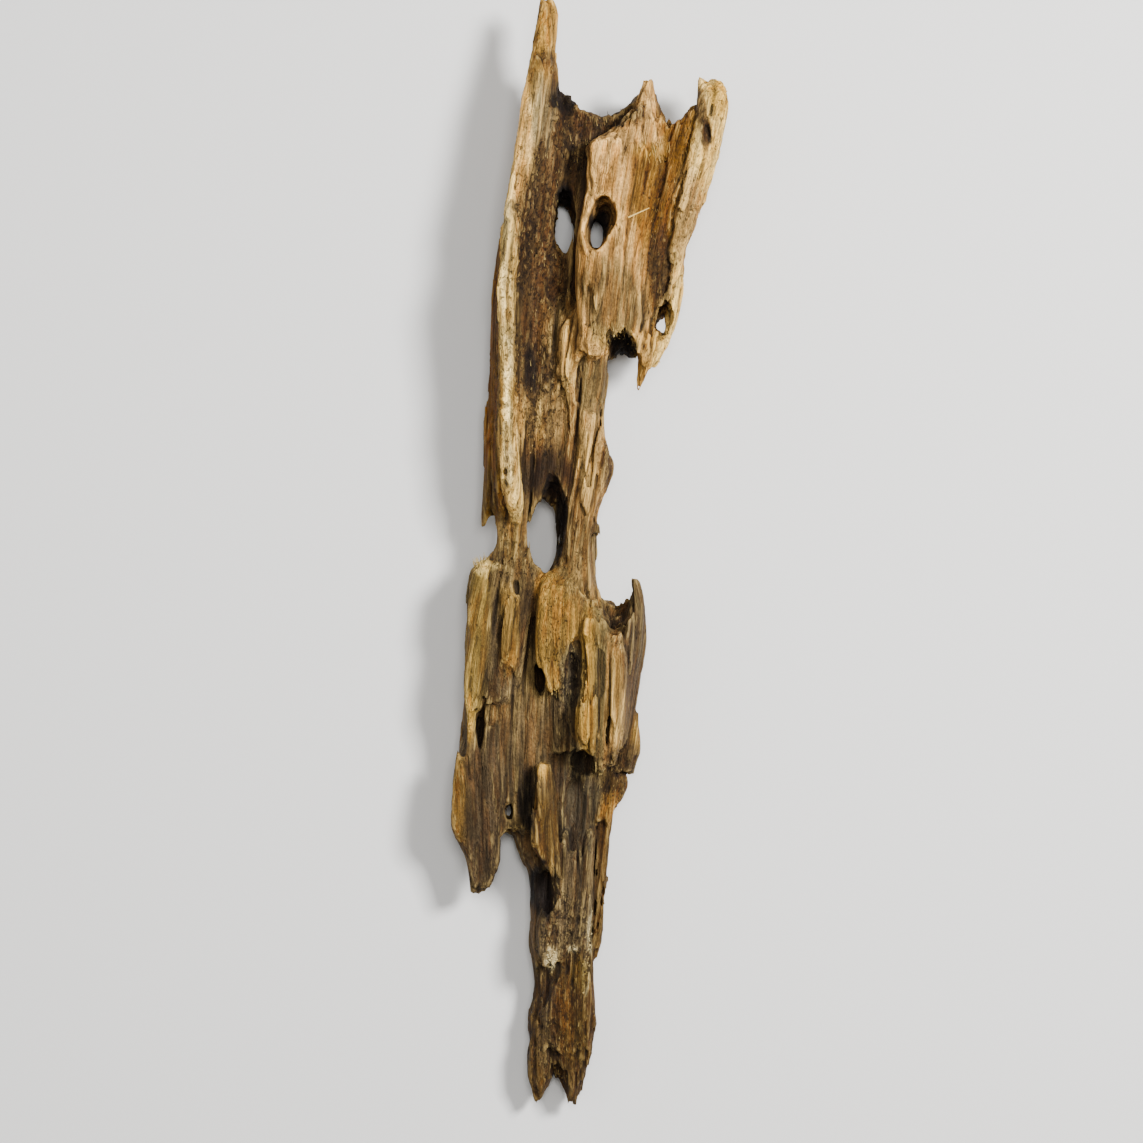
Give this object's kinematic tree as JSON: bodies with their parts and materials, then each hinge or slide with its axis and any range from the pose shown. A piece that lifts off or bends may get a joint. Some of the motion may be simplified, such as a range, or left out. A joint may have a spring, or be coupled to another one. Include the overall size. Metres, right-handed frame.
{
  "type": "cholla cactus skeleton",
  "caption": "Weathered flat piece of cholla cactus wood with ridged strands, through holes, broken spikes and a forked foot, lying on its back as natural decoration.",
  "frame": {"origin": "on the surface the piece rests on, under the centre of its bounding box", "axes": "+Y along the grain towards the end with the long spike, +Z out of the ridged face, away from the surface it rests on, +X to the right seen from above with +Y up"},
  "size_m": [0.0697, 0.2761, 0.0277],
  "materials": {
    "dry_wood": "dry, weathered and unfinished, grey-brown with straw and ochre ridges"
  },
  "bodies": {
    "root": {"cholla_wood": "dry_wood"}
  },
  "joints": []
}
